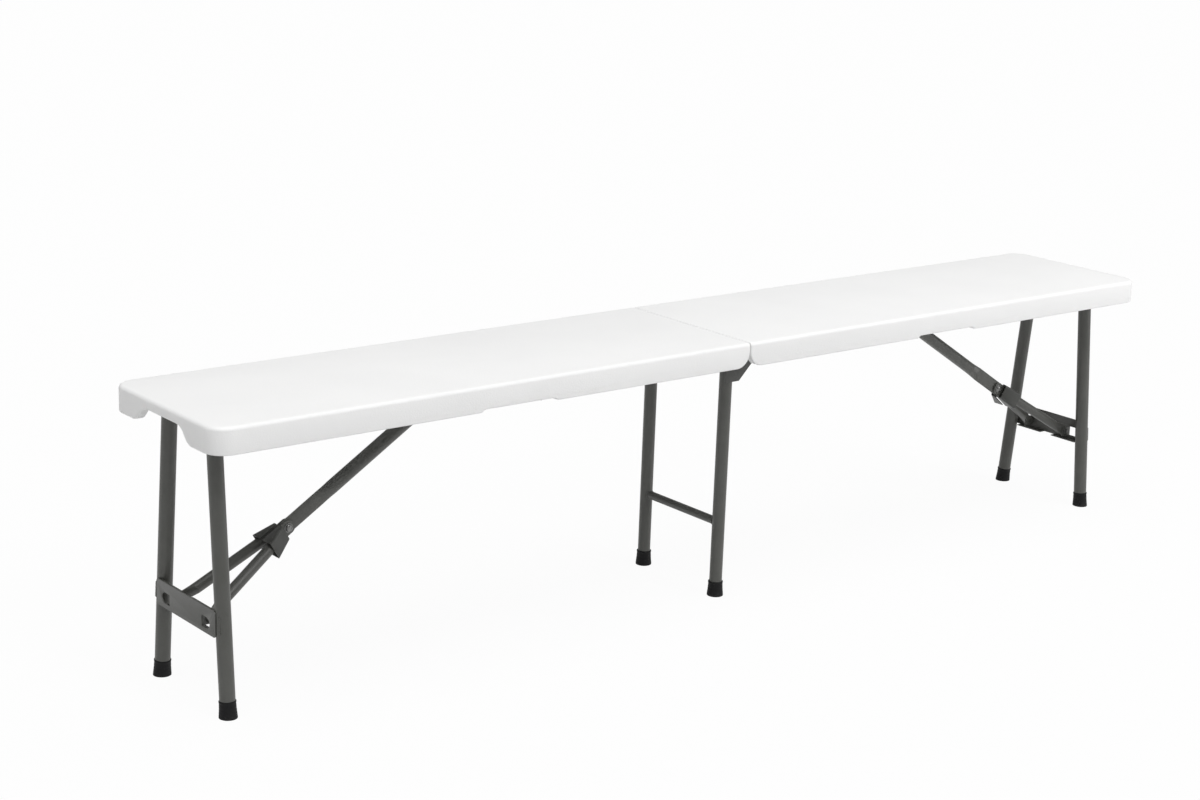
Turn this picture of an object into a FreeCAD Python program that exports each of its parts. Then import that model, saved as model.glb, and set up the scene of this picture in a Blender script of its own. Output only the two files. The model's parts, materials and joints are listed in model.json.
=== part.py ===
import FreeCAD, Part
import math
import os
import re
import Sketcher

# Folding bench: a blow-moulded seat in two halves on folding steel legs.
# Frame: millimetres, +X along the bench, +Z up, origin on the floor under the middle of the bench.
# "near" is the -Y side, "far" the +Y side, "left" the -X half and "right" the +X half.

document = FreeCAD.newDocument("folding_bench")
sheet = document.addObject("Spreadsheet::Sheet", "sizes")

DRIVING_SIZES = {
    # seat
    "bench_length": 1830,
    "seat_width": 282,
    "seat_height": 418,
    "seat_depth": 38,
    "seam_gap": 1.6,
    "slab_thick": 12,
    "skirt_wall": 13,
    "corner_radius": 30,
    "top_edge_radius": 5,
    "seam_corner_radius": 24,
    "end_notch_foot": 142,
    "end_notch_top": 102,
    "end_notch_rise": 22,
    "grip_notch_inner": 366,
    "grip_notch_length": 130,
    "grip_notch_rise": 4,
    "tack_rise": 5,
    "tack_width": 14,
    "tack_length": 52,
    "tack_pitch": 96,
    "tack_edge": 40,
    "knee_recess_rise": 6,
    # side rails
    "rail_wall": 2,
    "rail_depth": 22,
    "rail_flange": 18,
    "rail_gap": 2,
    "rail_start": 16,
    "rail_end_gap": 9,
    # bench hinge
    "rim_gap": 0.8,
    "hinge_plate": 3,
    "hinge_play": 0.3,
    "bracket_offset": 99,
    "bracket_drop": 31.1,
    "bracket_back": 13,
    "bracket_toe": 14.5,
    "bracket_reach": 60,
    "bracket_slope_x": 44,
    "bracket_slope_drop": 1.2,
    "hinge_ear_radius": 11,
    "hinge_bolt_radius": 4,
    "pin_play": 0.05,
    # end legs
    "end_leg_x": 870,
    "end_tube_radius": 11,
    "tube_wall": 1.2,
    "end_foot_spread": 92,
    "end_top_spread": 59.5,
    "leg_pivot_height": 392.6,
    "journal_radius": 5,
    "crossbar_height": 130,
    "crossbar_depth": 38,
    "crossbar_wall": 1.4,
    "crossbar_flange": 12,
    "crossbar_lip": 2,
    "crossbar_lip_gap": 15,
    "arm_gap": 12.5,
    "lug_height": 126,
    "lug_offset": 43,
    "lug_reach": 19,
    "lug_depth": 16,
    "window_length": 23,
    "crossbar_end_gap": 1.5,
    "weld_gap": 0.1,
    # feet
    "foot_height": 24,
    "foot_top_radius": 11.9,
    "foot_bottom_radius": 12.35,
    "foot_sole": 4,
    "foot_edge": 2,
    "foot_play": 0.05,
    # brace
    "rod_x": 442,
    "rod_radius": 6,
    "sleeve_radius": 9,
    "sleeve_length": 44,
    "arm_radius": 10,
    "tongue_half_height": 11.5,
    "tongue_half_thick": 2.5,
    "tongue_length": 62,
    "arm_flare": 24,
    "fork_radius": 8,
    "cheek_half_height": 10.5,
    "cheek_half_thick": 1.5,
    "cheek_play": 0.4,
    "cheek_length": 15,
    "fork_flare": 22,
    "fork_root_offset": 13.4,
    "fork_tip_offset": 34.4,
    "fork_tip_half_height": 8.5,
    "rivet_radius": 4,
    "rivet_head_radius": 6,
    "rivet_head_height": 3,
    "collar_start": 9,
    "collar_length": 31,
    "collar_wall": 1.5,
    "collar_mouth_half_width": 11.8,
    "collar_flare_half_width": 25,
    "collar_upper": 12.3,
    "collar_mouth_lower": 13,
    "collar_flare_lower": 17,
    "collar_slot": 6.6,
    # centre legs
    "centre_tube_radius": 10,
    "centre_spread": 88,
    "centre_top_radius": 9,
    "centre_bar_height": 120,
    "centre_bar_radius": 6.5,
    "centre_foot_radius": 12.2,
    "centre_foot_bottom_radius": 12.8,
    # carry handle
    "handle_inner_x": 381,
    "handle_width": 95,
    "handle_arm": 14,
    "handle_reach": 78,
    "handle_bar": 18,
    "handle_thick": 4.6,
    "handle_pivot_offset": 117,
    "handle_pivot_rise": 1.4,
    "handle_pin_radius": 1.5,
    "handle_ear_width": 8,
    "handle_plate": 1.5,
    "handle_tab": 15,
    # screws
    "screw_radius": 2,
    "screw_head_radius": 4,
    "screw_head_height": 2.4,
    "screw_bite": 7,
    "screw_play": 0.1,
    "screw_edge": 9,
    "hinge_screw_1": 28,
    "hinge_screw_2": 50,
    "rail_screw_1": 150,
    "rail_screw_2": 300,
    "rail_screw_3": 520,
    "rail_screw_4": 690,
    "rail_screw_5": 830,
}

HINGE_SCREWS = ["hinge_screw_1", "hinge_screw_2"]
RAIL_SCREWS = ["rail_screw_1", "rail_screw_2", "rail_screw_3", "rail_screw_4", "rail_screw_5"]
HANDLE_SCREWS = ["handle_inner_x - handle_plate - handle_tab / 2",
                 "handle_inner_x + handle_width + handle_plate + handle_tab / 2"]

DERIVED_SIZES = {
    "half_length": "(bench_length - seam_gap) / 2",
    "rim_z": "seat_height - seat_depth",
    "slab_z": "seat_height - slab_thick",
    "half_width": "seat_width / 2",
    "inner_half_width": "half_width - skirt_wall",
    "seam_x": "seam_gap / 2",
    "end_x": "bench_length / 2",
    "hinge_z": "rim_z - rim_gap / 2",
    "rail_outer": "inner_half_width - rail_gap",
    "rail_inner": "rail_outer - rail_wall",
    "rail_flange_inner": "rail_outer - rail_flange",
    "rail_flange_z": "slab_z - rail_wall",
    "rail_end": "end_x - skirt_wall - rail_end_gap",
    "ear_offset": "bracket_offset + hinge_plate + hinge_play",
    "hinge_flange_z": "rail_flange_z - hinge_plate",
    "lug_drop": "leg_pivot_height - lug_height",
    "rod_reach": "end_leg_x - rod_x",
    "brace_length": "sqrt(rod_reach ^ 2 + lug_drop ^ 2)",
    "fork_length": "(brace_length - rod_reach + lug_drop) / 2",
    "arm_length": "brace_length - fork_length",
    "knee_x": "end_leg_x - fork_length * rod_reach / brace_length",
    "knee_z": "lug_height + fork_length * lug_drop / brace_length",
    "cheek_offset": "tongue_half_thick + cheek_play + cheek_half_thick",
    "fork_end_offset": "lug_offset - hinge_play - cheek_half_thick",
    "handle_z": "rim_z + handle_pivot_rise",
    "crossbar_spread": "end_foot_spread - (end_foot_spread - end_top_spread) * crossbar_height / leg_pivot_height",
    "crossbar_reach": "crossbar_spread",
    "flange_reach": "crossbar_spread - end_tube_radius - crossbar_end_gap - 1.5",
    "folded_knee_x": "rod_x + arm_length",
}

for row, (alias, value) in enumerate(DRIVING_SIZES.items(), start=1):
    sheet.set(f"A{row}", alias)
    sheet.set(f"B{row}", str(value))
    sheet.setAlias(f"B{row}", alias)
for row, (alias, value) in enumerate(DERIVED_SIZES.items(), start=len(DRIVING_SIZES) + 2):
    sheet.set(f"A{row}", alias)
    sheet.set(f"B{row}", "=" + value)
    sheet.setAlias(f"B{row}", alias)
document.recompute()


class Sizes:
    """Reads a size from the sheet as a plain number."""

    def __getattr__(self, alias):
        cell = sheet.get(alias)
        return float(getattr(cell, "Value", cell))


size = Sizes()
NEAR, FAR = -1, 1
LEFT, RIGHT = -1, 1
SIDE_NAMES = {LEFT: "left", RIGHT: "right"}
ROW_NAMES = {NEAR: "near", FAR: "far"}
X_AXIS = FreeCAD.Vector(1, 0, 0)
Y_AXIS = FreeCAD.Vector(0, 1, 0)
Z_AXIS = FreeCAD.Vector(0, 0, 1)
FUNCTIONS = ("sqrt", "atan", "cos", "sin", "tan")
pieces = {}


def linked(text):
    """Puts the sheet's name before each alias in a formula."""
    return re.sub(
        r"[a-z_]\w*",
        lambda found: found.group() if found.group() in FUNCTIONS else "sizes." + found.group(),
        str(text),
    )


def piece(name, item):
    """Names a finished sub-part, which is written to its own file."""
    item.Label = name
    pieces[name] = item
    return item


# Helpers for sketched bodies

def origin_item(body, role):
    """One of the body's own origin planes or axes."""
    return [item for item in body.Origin.OriginFeatures if item.Role == role][0]


def sketch_on(body, name, role, offset="0"):
    """A sketch on one of the body's own origin planes, moved along its normal."""
    sketch = body.newObject("Sketcher::SketchObject", name)
    sketch.AttachmentSupport = [(origin_item(body, role), "")]
    sketch.MapMode = "FlatFace"
    sketch.setExpression("AttachmentOffset.Base.z", linked(offset))
    return sketch


def pin_down(sketch, geometry, point, x, y):
    """Fixes a sketch point at two formulas measured from the origin."""
    for kind, value in (("DistanceX", x), ("DistanceY", y)):
        index = sketch.addConstraint(Sketcher.Constraint(kind, -1, 1, geometry, point, 1.0))
        sketch.setExpression(f"Constraints[{index}]", linked(value))


def add_polygon(sketch, corners):
    """A closed outline through corners given as pairs of formulas."""
    count = len(corners)
    start = sketch.GeometryCount
    rough = []
    for index in range(count):
        turn = 2 * math.pi * index / count
        rough.append(FreeCAD.Vector(100 * math.cos(turn), 100 * math.sin(turn), 0))
    for index in range(count):
        sketch.addGeometry(Part.LineSegment(rough[index], rough[(index + 1) % count]), False)
    for index in range(count):
        following = start + (index + 1) % count
        sketch.addConstraint(Sketcher.Constraint("Coincident", start + index, 2, following, 1))
    for index, (x, y) in enumerate(corners):
        pin_down(sketch, start + index, 1, x, y)


def add_circle(sketch, x, y, radius):
    index = sketch.addGeometry(Part.Circle(FreeCAD.Vector(1, 1, 0), Z_AXIS, 1), False)
    pin_down(sketch, index, 3, x, y)
    bound = sketch.addConstraint(Sketcher.Constraint("Radius", index, 1.0))
    sketch.setExpression(f"Constraints[{bound}]", linked(radius))


def rectangle(x_low, y_low, x_high, y_high):
    return [(x_low, y_low), (x_high, y_low), (x_high, y_high), (x_low, y_high)]


def new_body(name):
    return document.addObject("PartDesign::Body", name)


def pad(body, sketch, length, reverse=False, both=False):
    feature = body.newObject("PartDesign::Pad", sketch.Name + "_pad")
    feature.Profile = sketch
    feature.setExpression("Length", linked(length))
    feature.Reversed = reverse
    if both:
        feature.SideType = "Symmetric"
    document.recompute()
    return feature


def pocket(body, sketch, depth, reverse=False):
    """Cuts a sketch out of the body and makes sure that something was cut."""
    before = body.Shape.Volume
    feature = body.newObject("PartDesign::Pocket", sketch.Name + "_cut")
    feature.Profile = sketch
    feature.setExpression("Length", linked(depth))
    feature.Reversed = reverse
    document.recompute()
    if body.Shape.Volume > before - 1:
        raise RuntimeError(f"{feature.Name} cut nothing")
    return feature


def edges_where(shape, test):
    names = []
    for index, edge in enumerate(shape.Edges, start=1):
        if test(edge):
            names.append(f"Edge{index}")
    return names


def round_edges(body, name, test, radius):
    """Fillets the edges of the body that pass a test."""
    base = body.Tip
    feature = body.newObject("PartDesign::Fillet", name)
    feature.Base = (base, edges_where(base.Shape, test))
    feature.setExpression("Radius", linked(radius))
    document.recompute()
    return feature


def upright(edge):
    box = edge.BoundBox
    return box.ZLength > 1 and box.XLength < 0.01 and box.YLength < 0.01


# The two seat halves

def make_seat(side):
    """One blow-moulded half: a slab with a deep rim, open underneath and at the hinge."""
    label = SIDE_NAMES[side]
    body = new_body(f"seat_{label}_body")
    outline = sketch_on(body, f"seat_{label}_outline", "XY_Plane", "rim_z")
    add_polygon(outline, rectangle(
        f"{side} * seam_x", "-half_width", f"{side} * end_x", "half_width"))
    pad(body, outline, "seat_depth")
    round_edges(body, f"seat_{label}_corners",
                lambda edge: upright(edge) and abs(edge.CenterOfMass.x) > size.end_x - 1,
                "corner_radius")
    round_edges(body, f"seat_{label}_seam_corners",
                lambda edge: edge.BoundBox.YLength > size.seat_width - 1
                and abs(edge.CenterOfMass.x) < size.seam_x + 1
                and edge.CenterOfMass.z < size.rim_z + 1,
                "seam_corner_radius")
    round_edges(body, f"seat_{label}_top_edge",
                lambda edge: edge.BoundBox.ZMin > size.seat_height - 0.1
                and not (edge.BoundBox.XLength < 0.01
                         and abs(edge.CenterOfMass.x) < size.seam_x + 1),
                "top_edge_radius")
    # the hollow underneath, and its open end at the hinge
    hollow = sketch_on(body, f"seat_{label}_hollow", "XY_Plane", "rim_z")
    add_polygon(hollow, rectangle(
        f"{side} * (seam_x + skirt_wall)", "-inner_half_width",
        f"{side} * (end_x - skirt_wall)", "inner_half_width"))
    pocket(body, hollow, "seat_depth - slab_thick", reverse=True)
    gate = sketch_on(body, f"seat_{label}_gate", "XY_Plane", "rim_z")
    add_polygon(gate, rectangle(
        f"{side} * (seam_x - 1)", "-rail_outer", f"{side} * (seam_x + skirt_wall + 1)", "rail_outer"))
    pocket(body, gate, "seat_depth - slab_thick", reverse=True)
    # the notch in the end rim and the shallow notch for the carry handle
    notch = sketch_on(body, f"seat_{label}_notch", "YZ_Plane",
                      f"{side} * end_x + 1" if side > 0 else "0 - end_x - 1")
    add_polygon(notch, [
        ("-end_notch_foot / 2", "rim_z"), ("end_notch_foot / 2", "rim_z"),
        ("end_notch_top / 2", "rim_z + end_notch_rise"),
        ("-end_notch_top / 2", "rim_z + end_notch_rise")])
    pocket(body, notch, "skirt_wall + 2", reverse=side < 0)
    grip = sketch_on(body, f"seat_{label}_grip", "XY_Plane", "rim_z")
    add_polygon(grip, rectangle(
        f"{side} * grip_notch_inner", "-half_width - 1",
        f"{side} * (grip_notch_inner + grip_notch_length)", "-inner_half_width + 1"))
    pocket(body, grip, "grip_notch_rise", reverse=True)
    # slots that clear the hinge brackets of the other half when the bench is folded
    if side == LEFT:
        for row in (NEAR, FAR):
            slot = sketch_on(body, f"seat_slot_{ROW_NAMES[row]}", "XY_Plane", "rim_z")
            add_polygon(slot, rectangle(
                "-bracket_drop - bracket_toe", f"{row} * (bracket_offset - 1.2)",
                "seam_x", f"{row} * (bracket_offset + hinge_plate + 1.2)"))
            pocket(body, slot, "seat_depth - hinge_plate", reverse=True)
    # the recess that clears the brace collar of the folded legs
    recess = sketch_on(body, f"seat_{label}_recess", "XY_Plane", "slab_z")
    add_polygon(recess, rectangle(
        f"{side} * (folded_knee_x - collar_start - collar_length - 6)", "-collar_flare_half_width - 4",
        f"{side} * (folded_knee_x + 16)", "collar_flare_half_width + 4"))
    pocket(body, recess, "knee_recess_rise", reverse=True)
    # pilot holes for the screws that hold the rails
    pilots = sketch_on(body, f"seat_{label}_pilots", "XY_Plane", "slab_z")
    for row in (NEAR, FAR):
        for x in rail_screw_places(side, row):
            add_circle(pilots, x, f"{row} * (rail_flange_inner + screw_edge)", "screw_radius + screw_play")
    pocket(body, pilots, "screw_bite - rail_wall + 0.5", reverse=True)
    # tack-off dimples, where the moulding's lower skin is pinched up to the upper one
    for row in (NEAR, 0, FAR):
        dimple = sketch_on(body, f"seat_{label}_dimple_{row + 1}", "XY_Plane", "slab_z")
        start = f"{side} * (end_x - skirt_wall - tack_edge)"
        add_polygon(dimple, rectangle(
            start, f"{row} * 62 - tack_width / 2",
            f"{side} * (end_x - skirt_wall - tack_edge - tack_length)", f"{row} * 62 + tack_width / 2"))
        cut = pocket(body, dimple, "tack_rise", reverse=True)
        pattern = body.newObject("PartDesign::LinearPattern", f"seat_{label}_dimples_{row + 1}")
        pattern.Originals = [cut]
        pattern.Direction = (origin_item(body, "X_Axis"), [""])
        pattern.Reversed = side > 0
        pattern.Mode = "Spacing"
        pattern.setExpression("Offset", linked("tack_pitch"))
        pattern.Occurrences = 8
        body.Tip = pattern
        document.recompute()
    return body


# Helpers for pieces made from primitives

def vector(x, y, z):
    return FreeCAD.Vector(x, y, z)


def aimed(direction):
    """The rotation that turns +Z to a direction."""
    return FreeCAD.Rotation(Z_AXIS, direction)


def cylinder(name, radius, length, start, direction):
    """A cylinder from a start point along a direction, its sizes bound to formulas."""
    item = document.addObject("Part::Cylinder", name)
    item.setExpression("Radius", linked(radius))
    item.setExpression("Height", linked(length))
    item.Placement = FreeCAD.Placement(start, aimed(direction))
    return item


def cone(name, radius_start, radius_end, length, start, direction):
    item = document.addObject("Part::Cone", name)
    item.setExpression("Radius1", linked(radius_start))
    item.setExpression("Radius2", linked(radius_end))
    item.setExpression("Height", linked(length))
    item.Placement = FreeCAD.Placement(start, aimed(direction))
    return item


def block(name, long, wide, high, corner):
    item = document.addObject("Part::Box", name)
    item.setExpression("Length", linked(long))
    item.setExpression("Width", linked(wide))
    item.setExpression("Height", linked(high))
    item.Placement = FreeCAD.Placement(corner, FreeCAD.Rotation())
    return item


def fused(name, items):
    item = document.addObject("Part::MultiFuse", name)
    item.Shapes = items
    return item


def cut(name, base, tools):
    item = document.addObject("Part::Cut", name)
    item.Base = base
    item.Tool = tools[0] if len(tools) == 1 else fused(name + "_tools", tools)
    return item


def group(name, items):
    """Several separate solids in one node."""
    item = document.addObject("Part::Compound", name)
    item.Links = items
    return item


# Steel under the seat halves

def make_rail(side, row):
    """An angle bar inside the rim, with holes for the leg tube and the brace rod."""
    label = f"{ROW_NAMES[row]}_{SIDE_NAMES[side]}"
    body = new_body(f"rail_{label}_body")
    profile = sketch_on(body, f"rail_{label}_profile", "YZ_Plane", f"{side} * rail_start" if side > 0
                        else "0 - rail_end")
    add_polygon(profile, [
        (f"{row} * rail_outer", "slab_z"), (f"{row} * rail_flange_inner", "slab_z"),
        (f"{row} * rail_flange_inner", "rail_flange_z"), (f"{row} * rail_inner", "rail_flange_z"),
        (f"{row} * rail_inner", "slab_z - rail_depth"), (f"{row} * rail_outer", "slab_z - rail_depth")])
    pad(body, profile, "rail_end - rail_start")
    holes = sketch_on(body, f"rail_{label}_holes", "XZ_Plane",
                      "0 - rail_outer - 1" if row > 0 else "rail_inner - 1")
    add_circle(holes, f"{side} * end_leg_x", "leg_pivot_height", "journal_radius + pin_play")
    add_circle(holes, f"{side} * rod_x", "leg_pivot_height", "rod_radius + pin_play")
    pocket(body, holes, "rail_wall + 2", reverse=True)
    screw_holes = sketch_on(body, f"rail_{label}_screw_holes", "XY_Plane", "rail_flange_z")
    for x in rail_screw_places(side, row):
        add_circle(screw_holes, x, f"{row} * (rail_flange_inner + screw_edge)", "screw_radius + screw_play")
    pocket(body, screw_holes, "rail_wall", reverse=True)
    return piece(f"side_rail_{label}", body)


def rail_screw_places(side, row):
    """Formulas for the x of each screw up through a side rail."""
    places = [f"{side} * {x}" for x in HINGE_SCREWS + RAIL_SCREWS]
    if side == LEFT and row == NEAR:
        places += [f"{side} * ({x})" for x in HANDLE_SCREWS]
    return places


def make_screw(name, x, y, z, bite):
    """A pan-head screw pointing up, with its head under z."""
    head = cylinder(name + "_head", "screw_head_radius", "screw_head_height",
                    vector(x, y, z - size.screw_head_height), Z_AXIS)
    shank = cylinder(name + "_shank", "screw_radius", bite, vector(x, y, z), Z_AXIS)
    return fused(name, [head, shank])


def make_rail_screws(side):
    label = SIDE_NAMES[side]
    screws = []
    for row in (NEAR, FAR):
        y = row * (size.rail_flange_inner + size.screw_edge)
        for index, place in enumerate(RAIL_SCREWS):
            x = side * getattr(size, place)
            screws.append(make_screw(f"rail_screw_{label}_{ROW_NAMES[row]}_{index}", x, y,
                                     size.rail_flange_z, "screw_bite"))
    return piece(f"rail_screws_{label}", group(f"rail_screws_{label}_set", screws))


def make_hinge_screws(side):
    label = SIDE_NAMES[side]
    screws = []
    for row in (NEAR, FAR):
        y = row * (size.rail_flange_inner + size.screw_edge)
        for index, place in enumerate(HINGE_SCREWS):
            x = side * getattr(size, place)
            screws.append(make_screw(f"hinge_screw_{label}_{ROW_NAMES[row]}_{index}", x, y,
                                     size.hinge_flange_z, "screw_bite + hinge_plate"))
    return piece(f"hinge_screws_{label}", group(f"hinge_screws_{label}_set", screws))


def make_arm_rod(side):
    """The rod that the brace arm swings on."""
    label = SIDE_NAMES[side]
    end = size.rail_outer + 1.5
    rod = cylinder(f"arm_rod_{label}_bar", "rod_radius", "2 * (rail_outer + 1.5)",
                   vector(side * size.rod_x, -end, size.leg_pivot_height), Y_AXIS)
    return piece(f"arm_rod_{label}", rod)


# The hinge between the halves

def plate_on_side(body, name, row, inner, corners, circles=()):
    """An upright plate whose outline is drawn from the side, from inner outwards."""
    sketch = sketch_on(body, name, "XZ_Plane",
                       f"{inner}" if row < 0 else f"0 - ({inner}) - hinge_plate")
    add_polygon(sketch, corners)
    for x, z, radius in circles:
        add_circle(sketch, x, z, radius)
    pad(body, sketch, "hinge_plate")


def hinge_flange(body, name, side, row, inner):
    """The flange of a hinge plate, screwed up under the side rail."""
    sketch = sketch_on(body, name, "XY_Plane", "hinge_flange_z")
    low = f"{side} * (rail_start + 4)"
    high = f"{side} * bracket_reach"
    add_polygon(sketch, rectangle(low, f"{row} * ({inner})", high, f"{row} * rail_inner - {row} * 0.5"))
    for place in HINGE_SCREWS:
        add_circle(sketch, f"{side} * {place}", f"{row} * (rail_flange_inner + screw_edge)",
                   "screw_radius + screw_play")
    pad(body, sketch, "hinge_plate")


def make_hinge_bracket(row):
    """The gusset plate of the right half, seen beside the top of the middle leg."""
    label = ROW_NAMES[row]
    body = new_body(f"hinge_bracket_{label}_body")
    toe_z = "hinge_z - bracket_drop"
    plate_on_side(
        body, f"hinge_bracket_{label}_plate", row, "bracket_offset",
        [("0 - bracket_back", toe_z), ("bracket_toe", toe_z),
         ("bracket_slope_x", "hinge_z - bracket_slope_drop"),
         ("bracket_reach", "rail_flange_z - 12"), ("bracket_reach", "rail_flange_z"),
         ("rail_start + 4", "rail_flange_z"), ("rail_start - 2", "hinge_z + 10"),
         ("0 - bracket_back", "hinge_z + 10")],
        [("0", "hinge_z", "hinge_bolt_radius + pin_play")])
    hinge_flange(body, f"hinge_bracket_{label}_flange", RIGHT, row, "bracket_offset")
    return piece(f"hinge_bracket_{label}", body)


def make_hinge_ear(row):
    """The plate of the left half that holds the hinge bolt."""
    label = ROW_NAMES[row]
    body = new_body(f"hinge_ear_{label}_body")
    reach = "hinge_ear_radius"
    plate_on_side(
        body, f"hinge_ear_{label}_plate", row, "ear_offset",
        [("0 - hinge_ear_radius * 0.5", f"hinge_z - {reach}"), ("hinge_ear_radius * 0.5", f"hinge_z - {reach}"),
         (reach, f"hinge_z - {reach} * 0.5"), (reach, f"hinge_z + {reach} * 0.5"),
         ("hinge_ear_radius * 0.5", f"hinge_z + {reach}"), ("0 - rail_start - 4", "rail_flange_z"),
         ("0 - bracket_reach", "rail_flange_z"), ("0 - bracket_reach", "rail_flange_z - 12"),
         (f"0 - {reach} * 1.3", f"hinge_z - {reach} * 0.6")],
        [("0", "hinge_z", "hinge_bolt_radius + screw_play")])
    hinge_flange(body, f"hinge_ear_{label}_flange", LEFT, row, "ear_offset")
    return piece(f"hinge_ear_{label}", body)


def make_hinge_bolt(row):
    """A bolt through the ear, the bracket and the top of the middle leg."""
    label = ROW_NAMES[row]
    inward = vector(0, -row, 0)
    outside = size.ear_offset + size.hinge_plate
    head = cylinder(f"hinge_bolt_{label}_head", "hinge_bolt_radius + 2.5", "3.5",
                    vector(0, row * (outside + 3.5), size.hinge_z), inward)
    shank = cylinder(f"hinge_bolt_{label}_shank", "hinge_bolt_radius",
                     "ear_offset + hinge_plate - centre_spread + centre_tube_radius",
                     vector(0, row * outside, size.hinge_z), inward)
    return piece(f"hinge_bolt_{label}", fused(f"hinge_bolt_{label}_part", [head, shank]))


# Leg frames

def make_leg(name, side, row, top_spread, foot_spread, x, radius, top_z, foot_top, coping):
    """A steel tube from its foot up to the tube that it is welded to."""
    foot = vector(side * x, row * foot_spread, 0)
    top = vector(side * x, row * top_spread, top_z)
    direction = (top - foot).normalize()
    start = foot + direction * foot_top
    length = (top - start).Length
    outer = cylinder(name + "_outer", radius, str(length), start, direction)
    bore = cylinder(name + "_bore", f"{radius} - tube_wall", str(length + 2), start - direction, direction)
    tools = [bore] + coping
    return piece(name, cut(name + "_part", outer, tools)), start, direction


def make_foot(name, start, direction, tube_radius, top_radius, bottom_radius):
    """A moulded foot cap on the end of a tube, cut level with the floor."""
    sole = size.foot_sole
    tip = start - direction * (sole + 3)
    skin = cone(name + "_skin", bottom_radius, top_radius, "foot_height + 3", tip,
                direction)
    socket = cylinder(name + "_socket", f"{tube_radius} + foot_play", "foot_height", start, direction)
    floor = block(name + "_floor", "80", "80", "20", vector(start.x - 40, start.y - 40, -20))
    shaped = cut(name + "_cut", skin, [socket, floor])
    return piece(name, shaped)


def make_end_frame(side):
    label = SIDE_NAMES[side]
    x = side * size.end_leg_x
    pivot_z = size.leg_pivot_height
    length = size.rail_inner - size.hinge_play
    tube = cylinder(f"pivot_tube_{label}_outer", "end_tube_radius", "2 * (rail_inner - hinge_play)",
                    vector(x, -length, pivot_z), Y_AXIS)
    bore = cylinder(f"pivot_tube_{label}_bore", "end_tube_radius - tube_wall",
                    "2 * (rail_inner - hinge_play - 12)", vector(x, 12 - length, pivot_z), Y_AXIS)
    journal_end = size.rail_outer + 1.5
    journals = []
    for row in (NEAR, FAR):
        journals.append(cylinder(f"journal_{ROW_NAMES[row]}_{label}", "journal_radius",
                                 "rail_outer + 1.5 - rail_inner + hinge_play",
                                 vector(x, row * length, pivot_z), vector(0, row, 0)))
    hollow = cut(f"pivot_tube_{label}_hollow", tube, [bore])
    piece(f"pivot_tube_{label}", fused(f"pivot_tube_{label}_part", [hollow] + journals))
    for row in (NEAR, FAR):
        name = f"end_leg_{ROW_NAMES[row]}_{label}"
        coping = cylinder(name + "_coping", "end_tube_radius + weld_gap", "2 * rail_inner",
                          vector(x, -size.rail_inner, pivot_z), Y_AXIS)
        leg, start, direction = make_leg(
            name, side, row, size.end_top_spread, size.end_foot_spread, size.end_leg_x,
            "end_tube_radius", pivot_z, size.foot_sole, [coping])
        make_foot(f"end_foot_{ROW_NAMES[row]}_{label}", start, direction, "end_tube_radius",
                  "foot_top_radius", "foot_bottom_radius")
    make_leg_crossbar(side)
    make_lug_rivets(side)


def make_leg_crossbar(side):
    """The pressed channel between the end legs, with a window and a bent lug at each end."""
    label = SIDE_NAMES[side]
    body = new_body(f"leg_crossbar_{label}_body")
    web_x = f"{side} * (end_leg_x + end_tube_radius + weld_gap)" if side > 0 else \
        "0 - end_leg_x - end_tube_radius - weld_gap - crossbar_wall"
    reach = "crossbar_reach"
    web = sketch_on(body, f"leg_crossbar_{label}_web", "YZ_Plane", web_x)
    low = "crossbar_height - crossbar_depth / 2"
    high = "crossbar_height + crossbar_depth / 2"
    add_polygon(web, rectangle(f"0 - {reach}", low, reach, high))
    for row in (NEAR, FAR):
        inner = f"{row} * (lug_offset + crossbar_wall)"
        outer = f"{row} * (lug_offset + window_length)"
        shoulder = f"{row} * (lug_offset + window_length - 6)"
        add_polygon(web, [
            (inner, "lug_height - lug_depth / 2"), (shoulder, "lug_height - lug_depth / 2"),
            (outer, "lug_height - lug_depth / 5"), (outer, "lug_height + lug_depth / 5"),
            (shoulder, "lug_height + lug_depth / 2"), (inner, "lug_height + lug_depth / 2")])
    pad(body, web, "crossbar_wall")
    edge = f"{side} * (end_leg_x + end_tube_radius + weld_gap + crossbar_wall / 2)"
    # both flanges are open in the middle, where the folded brace lies
    for name, z, gap, depth in (("lower", low, "arm_gap", "crossbar_flange"),
                                ("upper", f"{high} - crossbar_wall", "crossbar_lip_gap", "crossbar_lip")):
        flange = sketch_on(body, f"leg_crossbar_{label}_{name}", "XY_Plane", z)
        inner_x = f"{side} * (end_leg_x + end_tube_radius - {depth})"
        for row in (NEAR, FAR):
            add_polygon(flange, rectangle(edge, f"{row} * {gap}", inner_x, f"{row} * flange_reach"))
        pad(body, flange, "crossbar_wall")
    for row in (NEAR, FAR):
        lug = sketch_on(body, f"leg_lug_{ROW_NAMES[row]}_{label}", "XZ_Plane",
                        "lug_offset" if row < 0 else "0 - lug_offset - crossbar_wall")
        tip = f"{side} * (end_leg_x + end_tube_radius - lug_reach)"
        add_polygon(lug, rectangle(edge, "lug_height - lug_depth / 2", tip, "lug_height + lug_depth / 2"))
        add_circle(lug, f"{side} * end_leg_x", "lug_height", "rivet_radius + screw_play")
        pad(body, lug, "crossbar_wall")
    return piece(f"leg_crossbar_{label}", body)


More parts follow.
